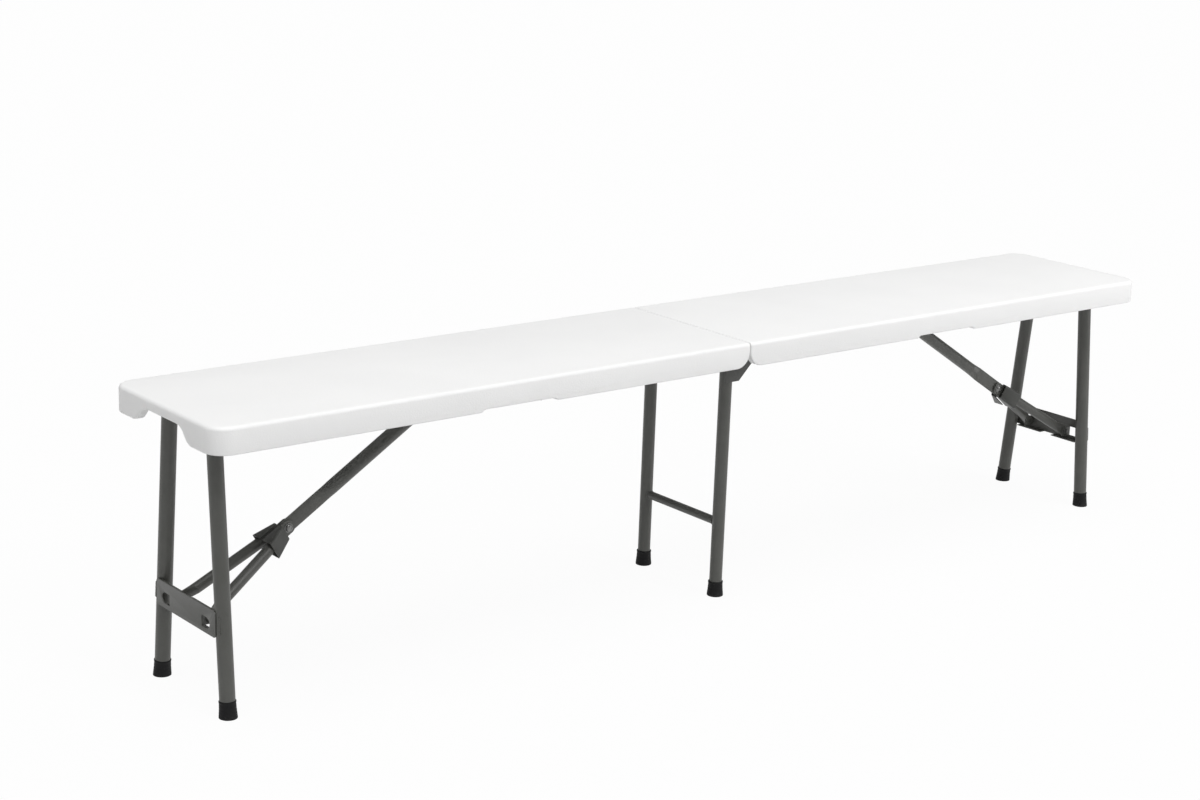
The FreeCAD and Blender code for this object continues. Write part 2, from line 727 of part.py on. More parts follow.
def make_lug_rivets(side):
    """Domed rivets through the lugs, that the fork ends turn on."""
    label = SIDE_NAMES[side]
    rivets = []
    for row in (NEAR, FAR):
        name = f"lug_rivet_{ROW_NAMES[row]}_{label}"
        head_y = row * (size.lug_offset + size.crossbar_wall)
        x = side * size.end_leg_x
        head = cone(name + "_head", "rivet_head_radius", "rivet_head_radius * 0.6", "rivet_head_height",
                    vector(x, head_y, size.lug_height), vector(0, row, 0))
        shank = cylinder(name + "_shank", "rivet_radius", "crossbar_wall + hinge_play + 2 * cheek_half_thick",
                         vector(x, head_y, size.lug_height), vector(0, -row, 0))
        rivets.append(fused(name, [head, shank]))
    return piece(f"lug_rivets_{label}", group(f"lug_rivets_{label}_set", rivets))


# The folding brace between the seat and an end frame

def brace_place(side):
    """The frame of a brace: origin at the knee, +X up along the arm, +Z square to it."""
    slope = math.degrees(math.atan2(size.lug_drop, size.rod_reach))
    tilt = FreeCAD.Rotation(Y_AXIS, -slope)
    turn = FreeCAD.Rotation(Z_AXIS, 0 if side == LEFT else 180)
    return FreeCAD.Placement(vector(side * size.knee_x, 0, size.knee_z), turn.multiply(tilt))


def oval(x, y, half_thick, half_height):
    """A closed oval across the brace at x, centred at y."""
    if half_height > half_thick:
        curve = Part.Ellipse(vector(x, y, half_height), vector(x, y + half_thick, 0), vector(x, y, 0))
    else:
        curve = Part.Circle(vector(x, y, 0), X_AXIS, half_thick)
    return Part.Wire(curve.toShape())


def tube_solid(sections):
    """A solid through ovals, straight from each one to the next."""
    stretches = []
    for first, second in zip(sections, sections[1:]):
        stretches.append(Part.makeLoft([oval(*first), oval(*second)], True, True))
    whole = stretches[0].multiFuse(stretches[1:])
    return whole.removeSplitter()


def rounded_tip(solid, centre, radius, reach, toward):
    """Cuts the end of a flattened tube to a half circle about its rivet."""
    span = size.half_width
    keep = Part.makeCylinder(radius, 2 * span, vector(centre, -span, 0), Y_AXIS)
    box = Part.makeBox(reach, 2 * span, 2 * span, vector(min(centre, centre + toward * reach), -span, -span))
    return solid.cut(box.cut(keep))


def shaped(name, solid, place):
    item = document.addObject("Part::Feature", name + "_shape")
    item.Shape = solid
    item.Placement = place
    return piece(name, item)


def make_arm(side):
    """The upper brace arm: a tube with a sleeve on the rod and a flattened tongue at the knee."""
    tongue = (size.tongue_half_thick, size.tongue_half_height)
    tube = (size.arm_radius, size.arm_radius)
    flare = size.tongue_length + size.arm_flare
    end = size.arm_length
    solid = tube_solid([
        (-size.tongue_half_height, 0) + tongue,
        (size.tongue_length, 0) + tongue,
        (flare, 0) + tube,
        (end, 0) + tube])
    solid = rounded_tip(solid, 0, size.tongue_half_height, size.tongue_half_height + 1, -1)
    hollow_radius = size.arm_radius - size.tube_wall
    solid = solid.cut(Part.makeCylinder(hollow_radius, end - flare - 4, vector(flare + 4, 0, 0), X_AXIS))
    sleeve = Part.makeCylinder(size.sleeve_radius, size.sleeve_length,
                               vector(end, -size.sleeve_length / 2, 0), Y_AXIS)
    bore = Part.makeCylinder(size.rod_radius + size.pin_play, size.sleeve_length,
                             vector(end, -size.sleeve_length / 2, 0), Y_AXIS)
    rivet_hole = Part.makeCylinder(size.rivet_radius, 20, vector(0, -10, 0), Y_AXIS)
    solid = solid.fuse(sleeve).cut(bore).cut(rivet_hole)
    return shaped(f"brace_arm_{SIDE_NAMES[side]}", solid, brace_place(side))


def fork_rows(side):
    """The +Y side of a brace's own frame is the far row on the left and the near row on the right."""
    return ((FAR, 1), (NEAR, -1)) if side == LEFT else ((NEAR, 1), (FAR, -1))


def make_fork(side, row, hand):
    """One lower brace tube, flattened at the knee and at its lug."""
    cheek = (size.cheek_half_thick, size.cheek_half_height)
    foot = (size.cheek_half_thick, size.fork_tip_half_height)
    tube = (size.fork_radius, size.fork_radius)
    root = -size.cheek_length - size.fork_flare
    tip = -size.fork_length
    tip_flare = tip + size.fork_tip_half_height + 18
    sections = [
        (size.cheek_half_height, hand * size.cheek_offset) + cheek,
        (-size.cheek_length, hand * size.cheek_offset) + cheek,
        (root, hand * size.fork_root_offset) + tube,
        (tip_flare, hand * size.fork_tip_offset) + tube,
        (tip + size.fork_tip_half_height, hand * size.fork_end_offset) + foot,
        (tip - size.fork_tip_half_height, hand * size.fork_end_offset) + foot]
    solid = tube_solid(sections)
    solid = rounded_tip(solid, 0, size.cheek_half_height, size.cheek_half_height + 1, 1)
    solid = rounded_tip(solid, tip, size.fork_tip_half_height, size.fork_tip_half_height + 1, -1)
    core = size.fork_radius - size.tube_wall
    bore = tube_solid([
        (root - 3, hand * size.fork_root_offset + hand * fork_slope() * 3, core, core),
        (tip_flare + 3, hand * size.fork_tip_offset - hand * fork_slope() * 3, core, core)])
    holes = [
        Part.makeCylinder(size.rivet_radius + size.screw_play, 100, vector(x, -50, 0), Y_AXIS)
        for x in (0, tip)]
    solid = solid.cut(bore).cut(holes[0]).cut(holes[1])
    return shaped(f"fork_{ROW_NAMES[row]}_{SIDE_NAMES[side]}", solid, brace_place(side))


def fork_slope():
    """How much the fork tubes spread for each millimetre towards the lugs."""
    run = size.fork_length - size.fork_tip_half_height - 18 - size.cheek_length - size.fork_flare
    return (size.fork_tip_offset - size.fork_root_offset) / run


def make_knee_rivet(side):
    """The knee rivet, clear of the tongue so that the fork can swing past it."""
    inner = size.tongue_half_thick + size.cheek_play
    outer = inner + 2 * size.cheek_half_thick
    solids = []
    for hand in (1, -1):
        across = vector(0, hand, 0)
        shank = Part.makeCylinder(size.rivet_radius, outer - inner, vector(0, hand * inner, 0), across)
        base = vector(0, hand * outer, 0)
        washer = Part.makeCylinder(size.rivet_head_radius + 1, 0.6, base, across)
        head = Part.makeCone(size.rivet_head_radius, size.rivet_head_radius * 0.55,
                             size.rivet_head_height - 0.6, vector(0, hand * (outer + 0.6), 0), across)
        solids.append(shank.fuse(washer).fuse(head))
    return shaped(f"knee_rivet_{SIDE_NAMES[side]}", Part.makeCompound(solids), brace_place(side))


def frustum(x_mouth, x_flare, mouth, flare):
    """A straight-sided hull between two upright rectangles (half width, lower, upper)."""
    wires = []
    for x, (half, lower, upper) in ((x_mouth, mouth), (x_flare, flare)):
        corners = [vector(x, -half, -lower), vector(x, half, -lower), vector(x, half, upper),
                   vector(x, -half, upper)]
        wires.append(Part.makePolygon(corners + corners[:1]))
    return Part.makeLoft(wires, True, True)


def make_lock_collar(side):
    """The flared lock collar over the fork's neck, slotted above and below for the tongue."""
    mouth_x = -size.collar_start
    flare_x = mouth_x - size.collar_length
    wall = size.collar_wall
    mouth = (size.collar_mouth_half_width, size.collar_mouth_lower, size.collar_upper)
    flare = (size.collar_flare_half_width, size.collar_flare_lower, size.collar_upper)
    outer = frustum(mouth_x, flare_x, mouth, flare)
    long_edges = [edge for edge in outer.Edges if edge.BoundBox.XLength > size.collar_length / 2]
    outer = outer.makeFillet(4, long_edges)
    inner = frustum(mouth_x + 0.01, flare_x - 0.01,
                    [value - wall for value in mouth], [value - wall for value in flare])
    slot = Part.makeBox(200, size.collar_slot, 200, vector(-150, -size.collar_slot / 2, -100))
    solid = outer.cut(inner).cut(slot)
    return shaped(f"lock_collar_{SIDE_NAMES[side]}", solid, brace_place(side))


# The middle leg frame, which hangs on the hinge bolts

def make_centre_frame():
    axis_z = size.hinge_z
    inner = size.centre_spread - size.centre_tube_radius
    for row in (NEAR, FAR):
        name = f"centre_leg_{ROW_NAMES[row]}"
        bolt_hole = cylinder(name + "_bolt_hole", "hinge_bolt_radius + pin_play", "3 * centre_tube_radius",
                             vector(0, row * (size.centre_spread - 1.5 * size.centre_tube_radius), axis_z),
                             vector(0, row, 0))
        top_z = axis_z + size.centre_tube_radius
        leg, start, direction = make_leg(
            name, RIGHT, row, size.centre_spread, size.centre_spread, 0,
            "centre_tube_radius", top_z, size.foot_sole, [bolt_hole])
        make_foot(f"centre_foot_{ROW_NAMES[row]}", start, direction, "centre_tube_radius",
                  "centre_foot_radius", "centre_foot_bottom_radius")
    for name, z, radius in (("centre_top_bar", "hinge_z", "centre_top_radius"),
                            ("centre_crossbar", "centre_bar_height", "centre_bar_radius")):
        height = getattr(size, z)
        reach = inner - size.weld_gap
        bar = cylinder(name + "_outer", radius, "2 * (centre_spread - centre_tube_radius - weld_gap)",
                       vector(0, -reach, height), Y_AXIS)
        bore = cylinder(name + "_bore", f"{radius} - tube_wall",
                        "2 * (centre_spread - centre_tube_radius)", vector(0, -inner, height), Y_AXIS)
        piece(name, cut(name + "_part", bar, [bore]))


# The carry handle under the near edge of the left half

def make_handle():
    body = new_body("carry_handle_body")
    ring = sketch_on(body, "carry_handle_outline", "XY_Plane", "handle_z - handle_thick / 2")
    x_high = "0 - handle_inner_x"
    x_low = "0 - handle_inner_x - handle_width"
    pivot_y = "0 - handle_pivot_offset"
    grip_y = "0 - handle_pivot_offset + handle_reach"
    add_polygon(ring, [
        (x_low, f"{pivot_y} - 4"), (f"{x_low} + handle_arm", f"{pivot_y} - 4"),
        (f"{x_low} + handle_arm", f"{grip_y} - handle_bar"),
        (f"{x_high} - handle_arm", f"{grip_y} - handle_bar"),
        (f"{x_high} - handle_arm", f"{pivot_y} - 4"), (x_high, f"{pivot_y} - 4"),
        (x_high, grip_y), (x_low, grip_y)])
    pad(body, ring, "handle_thick")
    bore = sketch_on(body, "carry_handle_bore", "YZ_Plane", f"{x_low} - 1")
    add_circle(bore, pivot_y, "handle_z", "handle_pin_radius + pin_play")
    pocket(body, bore, "handle_width + 2", reverse=True)
    outer_grip = size.handle_reach - size.handle_pivot_offset
    round_edges(body, "carry_handle_corners",
                lambda edge: upright(edge) and abs(edge.CenterOfMass.y - outer_grip) < 0.1, "handle_arm")
    return piece("carry_handle", body)


def make_handle_ears():
    """The sheet ears that carry the handle pins, under the near rail's flange."""
    y = -size.handle_pivot_offset
    pins = []
    for label, inner_x, outward in (("outer", -size.handle_inner_x - size.handle_width, -1),
                                    ("inner", -size.handle_inner_x, 1)):
        gap = size.hinge_play
        near_x = inner_x + outward * gap
        low_x = min(near_x, near_x + outward * size.handle_plate)
        half = size.handle_ear_width / 2
        drop = size.handle_z - half
        ear = block(f"handle_ear_{label}_plate", "handle_plate", "handle_ear_width",
                    "rail_flange_z - handle_z + handle_ear_width / 2", vector(low_x, y - half, drop))
        tab_low = min(near_x, near_x + outward * (size.handle_plate + size.handle_tab))
        tab = block(f"handle_ear_{label}_tab", "handle_plate + handle_tab", "handle_ear_width",
                    "handle_plate", vector(tab_low, y - half, size.rail_flange_z - size.handle_plate))
        pin_hole = cylinder(f"handle_ear_{label}_hole", "handle_pin_radius + screw_play", "20",
                            vector(near_x - outward * 5, y, size.handle_z), vector(outward, 0, 0))
        screw_x = near_x + outward * (size.handle_plate - gap + size.handle_tab / 2)
        screw_hole = cylinder(f"handle_ear_{label}_screw_hole", "screw_radius + screw_play", "20",
                              vector(screw_x, y, size.rail_flange_z - 10), Z_AXIS)
        plate = fused(f"handle_ear_{label}_sheet", [ear, tab])
        piece(f"handle_ear_{label}", cut(f"handle_ear_{label}_part", plate, [pin_hole, screw_hole]))
        pins.append(cylinder(f"handle_pin_{label}", "handle_pin_radius", "handle_plate + hinge_play + 12",
                             vector(near_x + outward * size.handle_plate, y, size.handle_z),
                             vector(-outward, 0, 0)))
    piece("handle_pins", group("handle_pins_set", pins))
    screws = []
    for index, x in enumerate((-size.handle_inner_x + size.handle_plate + size.handle_tab / 2,
                               -size.handle_inner_x - size.handle_width - size.handle_plate
                               - size.handle_tab / 2)):
        screws.append(make_screw(f"handle_screw_{index}", x, -(size.rail_flange_inner + size.screw_edge),
                                 size.rail_flange_z - size.handle_plate, "screw_bite + handle_plate"))
    piece("handle_screws", group("handle_screws_set", screws))


# Build every piece

for side in (LEFT, RIGHT):
    piece(f"seat_{SIDE_NAMES[side]}", make_seat(side))
    for row in (NEAR, FAR):
        make_rail(side, row)
    make_rail_screws(side)
    make_hinge_screws(side)
    make_arm_rod(side)
    make_end_frame(side)
    make_arm(side)
    for row, hand in fork_rows(side):
        make_fork(side, row, hand)
    make_knee_rivet(side)
    make_lock_collar(side)
for row in (NEAR, FAR):
    make_hinge_bracket(row)
    make_hinge_ear(row)
    make_hinge_bolt(row)
make_centre_frame()
make_handle()
make_handle_ears()
document.recompute()

# Check and write

failed = [item.Name for item in document.Objects if "Invalid" in item.State or "Error" in item.State]
for name, item in pieces.items():
    shape = item.Shape
    if shape.isNull() or not shape.isValid() or not shape.Solids:
        failed.append(name)
if failed:
    raise RuntimeError("failed: " + ", ".join(failed))

os.makedirs("parts", exist_ok=True)
for name, item in pieces.items():
    item.Shape.exportStep(f"parts/{name}.step")
print(len(pieces), "pieces written")
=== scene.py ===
import json
import math

import bmesh
import bpy
from mathutils import Matrix, Vector


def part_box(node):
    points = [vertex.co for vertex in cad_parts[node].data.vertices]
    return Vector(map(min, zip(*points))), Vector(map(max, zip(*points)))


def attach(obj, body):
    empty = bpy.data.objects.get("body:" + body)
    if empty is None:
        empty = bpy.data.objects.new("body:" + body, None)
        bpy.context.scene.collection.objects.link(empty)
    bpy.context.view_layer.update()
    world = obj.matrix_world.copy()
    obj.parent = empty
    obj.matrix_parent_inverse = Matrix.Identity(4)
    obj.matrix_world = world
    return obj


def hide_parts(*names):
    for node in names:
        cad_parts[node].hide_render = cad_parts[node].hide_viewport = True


# Folding bench, dressed on its CAD frame. Metres, +X along the bench, +Z up, floor at zero.

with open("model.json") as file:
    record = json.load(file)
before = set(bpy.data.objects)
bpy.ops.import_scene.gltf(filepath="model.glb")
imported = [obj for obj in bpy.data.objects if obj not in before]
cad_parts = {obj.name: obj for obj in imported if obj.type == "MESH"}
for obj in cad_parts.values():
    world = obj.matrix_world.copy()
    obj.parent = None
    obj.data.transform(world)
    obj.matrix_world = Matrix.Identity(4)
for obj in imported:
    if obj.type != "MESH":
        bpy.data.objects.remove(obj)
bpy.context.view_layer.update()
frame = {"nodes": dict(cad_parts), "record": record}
NODES = frame["nodes"]
BODY_OF = {node: body for body, nodes in frame["record"]["behaviour"]["bodies"].items()
           for node in nodes}
MM = 0.001
LEFT, RIGHT = -1, 1
NEAR, FAR = -1, 1
SIDE_NAMES = {LEFT: "left", RIGHT: "right"}
ROW_NAMES = {NEAR: "near", FAR: "far"}


# Finishes: a socket that takes Python arithmetic, and a material that adds nodes

class Value:
    """The output of a node, on which plain sums add Math nodes."""

    def __init__(self, finish, socket):
        self.finish = finish
        self.socket = socket

    def joined(self, operation, first, second):
        return self.finish.node("ShaderNodeMath", {"operation": operation}, {0: first, 1: second})

    def __add__(self, other):
        return self.joined("ADD", self, other)

    __radd__ = __add__

    def __sub__(self, other):
        return self.joined("SUBTRACT", self, other)

    def __rsub__(self, other):
        return self.joined("SUBTRACT", other, self)

    def __mul__(self, other):
        return self.joined("MULTIPLY", self, other)

    __rmul__ = __mul__


class Finish:
    """A material built from nodes around one Principled shader."""

    def __init__(self, name):
        self.material = bpy.data.materials.new(name)
        self.material.use_nodes = True
        self.tree = self.material.node_tree
        self.shader = self.tree.nodes["Principled BSDF"]

    def node(self, kind, settings=None, inputs=None, output=0):
        """Adds a node, sets its options first and its sockets after, and returns one output."""
        made = self.tree.nodes.new(kind)
        for key, value in (settings or {}).items():
            setattr(made, key, value)
        for key, value in (inputs or {}).items():
            self.feed(made.inputs[key], value)
        return Value(self, made.outputs[output])

    def feed(self, socket, value):
        if isinstance(value, Value):
            self.tree.links.new(value.socket, socket)
        else:
            socket.default_value = value

    def place(self, stretch=(1, 1, 1)):
        """Object coordinates, stretched along the axes."""
        coordinates = self.node("ShaderNodeTexCoord", output="Object")
        return self.node("ShaderNodeMapping", inputs={"Vector": coordinates, "Scale": stretch})

    def noise(self, place, scale, detail=3, roughness=0.5):
        return self.node("ShaderNodeTexNoise", None,
                         {"Vector": place, "Scale": scale, "Detail": detail,
                          "Roughness": roughness})

    def cells(self, place, scale, smoothness=0.6):
        return self.node("ShaderNodeTexVoronoi", {"feature": "SMOOTH_F1"},
                         {"Vector": place, "Scale": scale, "Smoothness": smoothness})

    def ramp(self, value, low, high, start=0, end=1):
        """Spreads the part of a value between low and high over start to end, and clamps it."""
        return self.node("ShaderNodeMapRange", None,
                         {"Value": value, "From Min": low, "From Max": high,
                          "To Min": start, "To Max": end})

    def mix(self, share, first, second):
        return self.node("ShaderNodeMix", {"data_type": "RGBA"},
                         {0: share, 6: (*first, 1) if isinstance(first, tuple) else first,
                          7: (*second, 1) if isinstance(second, tuple) else second}, output=2)

    def bump(self, height, distance, strength=1.0):
        return self.node("ShaderNodeBump", None,
                         {"Height": height, "Distance": distance, "Strength": strength})

    def shade(self, **sockets):
        """Sets the shader's sockets: an underscore stands for a space."""
        for name, value in sockets.items():
            self.feed(self.shader.inputs[name.replace("_", " ")], value)
        return self.material


def moulded_seat_finish():
    """White blow-moulded plastic with a fine pebbled grain, faint clouding and rubbed patches."""
    finish = Finish("pebbled_white_plastic")
    place = finish.place()
    cloud = finish.noise(place, 7, detail=4)
    pebble = finish.cells(place, 430)
    grain = finish.noise(place, 900, detail=2)
    rubs = finish.noise(finish.place((3, 26, 26)), 5, detail=5, roughness=0.65)
    worn = finish.ramp(rubs, 0.56, 0.72)
    colour = finish.mix(finish.ramp(cloud, 0.35, 0.65),
                        (0.820, 0.820, 0.818), (0.836, 0.836, 0.833))
    colour = finish.mix(worn * 0.2, colour, (0.785, 0.785, 0.78))
    return finish.shade(
        Base_Color=colour,
        Roughness=0.5 + 0.1 * pebble - 0.1 * worn,
        Normal=finish.bump(pebble * 0.8 + grain * 0.3, 0.00035, 0.5))


def powder_coat_finish(name, dark, light):
    """Baked grey powder coat: orange peel, fine speckle and faint clouding."""
    finish = Finish(name)
    place = finish.place()
    peel = finish.noise(place, 700, detail=2)
    speckle = finish.noise(place, 1500, detail=1)
    cloud = finish.noise(place, 22, detail=4)
    colour = finish.mix(finish.ramp(cloud, 0.3, 0.7), dark, light)
    flecks = finish.ramp(speckle, 0.62, 0.75)
    colour = finish.mix(flecks * 0.2, colour, tuple(2.1 * channel for channel in light))
    return finish.shade(
        Base_Color=colour,
        Roughness=0.32 + 0.14 * cloud,
        Normal=finish.bump(peel, 0.00025, 0.45))


def rubber_finish():
    """Black moulded rubber, dusty and scuffed where it meets the floor."""
    finish = Finish("black_foot_rubber")
    place = finish.place()
    grain = finish.noise(place, 800, detail=2)
    height = finish.node("ShaderNodeSeparateXYZ", None, {0: place}, output=2)
    scuffs = finish.noise(finish.place((1, 1, 3)), 160, detail=4)
    dust = finish.ramp(height, 0.009, 0.0005) * finish.ramp(scuffs, 0.42, 0.62)
    return finish.shade(
        Base_Color=finish.mix(dust * 0.3, (0.0055, 0.0055, 0.006), (0.06, 0.058, 0.056)),
        Roughness=0.62 + 0.2 * dust,
        Specular_IOR_Level=0.22,
        Normal=finish.bump(grain, 0.0002, 0.4))


def steel_finish(name, bright, dull):
    """Bare or plated steel with a turned sheen and slight tarnish."""
    finish = Finish(name)
    place = finish.place()
    tarnish = finish.noise(place, 260, detail=4)
    scratch = finish.noise(finish.place((1, 9, 1)), 900, detail=2)
    return finish.shade(
        Metallic=1.0,
        Base_Color=finish.mix(finish.ramp(tarnish, 0.4, 0.7), bright, dull),
        Roughness=0.22 + 0.22 * tarnish,
        Normal=finish.bump(scratch, 0.0001, 0.3))


def handle_finish():
    """Black moulded handle plastic with a fine leather grain."""
    finish = Finish("black_handle_plastic")
    place = finish.place()
    grain = finish.cells(place, 700)
    cloud = finish.noise(place, 60, detail=3)
    return finish.shade(
        Base_Color=finish.mix(cloud, (0.016, 0.016, 0.017), (0.026, 0.026, 0.027)),
        Roughness=0.42 + 0.16 * grain,
        Normal=finish.bump(grain, 0.0002, 0.5))


SEAT = moulded_seat_finish()
COAT = powder_coat_finish("grey_powder_coat", (0.066, 0.067, 0.060), (0.082, 0.083, 0.076))
# A darker copy of the grey powder coat: painted shade, standing in for the shade under the seat
# and inside the crossbar window.
SHADE_DARKENED_COAT = powder_coat_finish("shade_darkened_powder_coat", (0.040, 0.041, 0.037), (0.054, 0.055, 0.050))
RUBBER = rubber_finish()
STEEL = steel_finish("zinc_plated_steel", (0.66, 0.66, 0.65), (0.42, 0.42, 0.41))
RIVET_STEEL = steel_finish("blackened_rivet_steel", (0.22, 0.22, 0.215), (0.12, 0.12, 0.118))
HANDLE = handle_finish()


# Helpers for new pieces

def placed(name, data):
    """Puts a mesh, lamp or camera into the scene at the world origin."""
    item = bpy.data.objects.new(name, data)
    bpy.context.scene.collection.objects.link(item)
    return item


def put(name, mesh, material, body, nodes=(), crease=35, rounding=0):
    """Makes a piece from a bmesh, rides it on a body and hides the nodes it stands for."""
    data = bpy.data.meshes.new(name)
    mesh.to_mesh(data)
    mesh.free()
    data.shade_smooth()
    data.set_sharp_from_angle(angle=math.radians(crease))
    data.materials.append(material)
    item = placed(name, data)
    if rounding:
        bevel = item.modifiers.new("rounding", "BEVEL")
        bevel.width = rounding
        bevel.segments = 3
        bevel.limit_method = "ANGLE"
        bevel.angle_limit = math.radians(40)
        bevel.use_clamp_overlap = True
        bevel.harden_normals = True
    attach(item, body)
    if nodes:
        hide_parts(*nodes)
    return item


def edges_where(mesh, test):
    return [edge for edge in mesh.edges if test(*(vert.co for vert in edge.verts))]


def near_value(value, wanted):
    return abs(value - wanted) < 1e-5


def rounded(mesh, parts, radius, segments, affect="EDGES"):
    """Rounds edges of a solid, or with VERTICES the corners of a flat outline."""
    bmesh.ops.bevel(mesh, geom=parts, offset=radius, offset_type="OFFSET", segments=segments,
                    profile=0.5, affect=affect, clamp_overlap=True, material=-1)


def notch_rim(mesh, edge, axis, places, radius):
    """Lifts a notch out of a straight rim edge: places are four (along, height) pairs."""
    made = bmesh.ops.subdivide_edges(mesh, edges=[edge], cuts=4)
    points = [item for item in made["geom_inner"] if isinstance(item, bmesh.types.BMVert)]
    points.sort(key=lambda point: point.co[axis])
    for point, (along, height) in zip(points, sorted(places)):
        point.co[axis] = along
        point.co.z = height
    rounded(mesh, points, radius, 6, "VERTICES")


# Helpers for turned, softened and welded pieces

def aimed(base, axis):
    """The matrix that stands a piece, drawn up the Z axis, on a point along an axis."""
    aim = Vector((0, 0, 1)).rotation_difference(Vector(axis)).to_matrix().to_4x4()
    return Matrix.Translation(base) @ aim


def turned(mesh, profile, base, axis, steps=32):
    """Spins pairs of distance along and radius, in millimetres, about an axis through a point."""
    before = set(mesh.verts)
    points = [mesh.verts.new((radius * MM, 0, along * MM)) for along, radius in profile]
    edges = [mesh.edges.new(pair) for pair in zip(points, points[1:])]
    bmesh.ops.spin(mesh, geom=points + edges, cent=(0, 0, 0), axis=(0, 0, 1), dvec=(0, 0, 0),
                   angle=math.tau, steps=steps, use_merge=True)
    fresh = [vert for vert in mesh.verts if vert not in before]
    bmesh.ops.remove_doubles(mesh, verts=fresh, dist=1e-6)
    fresh = [vert for vert in mesh.verts if vert not in before]
    bmesh.ops.transform(mesh, matrix=aimed(base, axis), verts=fresh)
    return fresh


def sharp_edges(mesh, degrees=30):
    return [edge for edge in mesh.edges
            if len(edge.link_faces) == 2 and edge.calc_face_angle(0) > math.radians(degrees)]


def merged_copy(node):
    """A CAD node's mesh with its loose triangles joined and its flat faces whole."""
    mesh = bmesh.new()
    mesh.from_mesh(NODES[node].data)
    bmesh.ops.remove_doubles(mesh, verts=mesh.verts, dist=1e-6)
    bmesh.ops.dissolve_limit(mesh, angle_limit=math.radians(0.5), verts=mesh.verts,
                             edges=mesh.edges, use_dissolve_boundaries=False, delimit=set())
    return mesh


def softened(node, name, finish, width, bends=()):
    """Replaces a sheet-metal or moulded node by a copy with rounded bends and broken edges."""
    mesh = merged_copy(node)
    for test, radius in bends:
        bend = [edge for edge in sharp_edges(mesh) if test(*(vert.co for vert in edge.verts))]
        rounded(mesh, bend, radius, 4)
    rounded(mesh, sharp_edges(mesh), width, 2)
    return put(name, mesh, finish, BODY_OF[node], [node], crease=50)


# The seat halves

SEAT_LENGTH = 1830 * MM
TOP_RADIUS = 5.5 * MM
CORNER_RADIUS = 30 * MM
SEAM_CORNER_RADIUS = 24 * MM
SHELL = 12 * MM
RIM_RADIUS = 2.2 * MM
NOTCH_FOOT, NOTCH_TOP = 71 * MM, 51 * MM
NOTCH_RISE = 22 * MM
NOTCH_RADIUS = 9 * MM
GRIP_INNER, GRIP_OUTER = 366 * MM, 496 * MM
GRIP_RISE = 4 * MM
GRIP_RADIUS = 2.5 * MM
TACK_COUNT = 8
TACK_PITCH = 96 * MM
TACK_LENGTH = 52 * MM
TACK_WIDTH = 14 * MM
TACK_DEPTH = 5 * MM
TACK_EDGE = 53 * MM
TACK_ROWS = (-62 * MM, 0, 62 * MM)
POCKET_SLOPE = 2.5 * MM
RECESS_NEAR, RECESS_FAR = 728.8 * MM, 790.8 * MM
RECESS_HALF_WIDTH = 29 * MM
RECESS_RISE = 6 * MM
SLOT_END = 45.6 * MM
SLOT_INNER, SLOT_OUTER = 97.8 * MM, 103.2 * MM
SLOT_RISE = 9 * MM


def rounded_place(vert):
    return tuple(round(value, 6) for value in vert.co)


def tuck_in(vert, high):
    """Keeps a point of the inner skin a full wall inside the rounded outer skin."""
    vert.co.z = min(vert.co.z, high.z - SHELL)
    middle = Vector((SEAT_LENGTH / 2 - CORNER_RADIUS, high.y - CORNER_RADIUS))
    out = Vector((max(abs(vert.co.x) - middle.x, 0), max(abs(vert.co.y) - middle.y, 0)))
    if out.length > CORNER_RADIUS - SHELL:
        out *= (CORNER_RADIUS - SHELL) / out.length
        if out.x > 0:
            vert.co.x = math.copysign(middle.x + out.x, vert.co.x)
        if out.y > 0:
            vert.co.y = math.copysign(middle.y + out.y, vert.co.y)


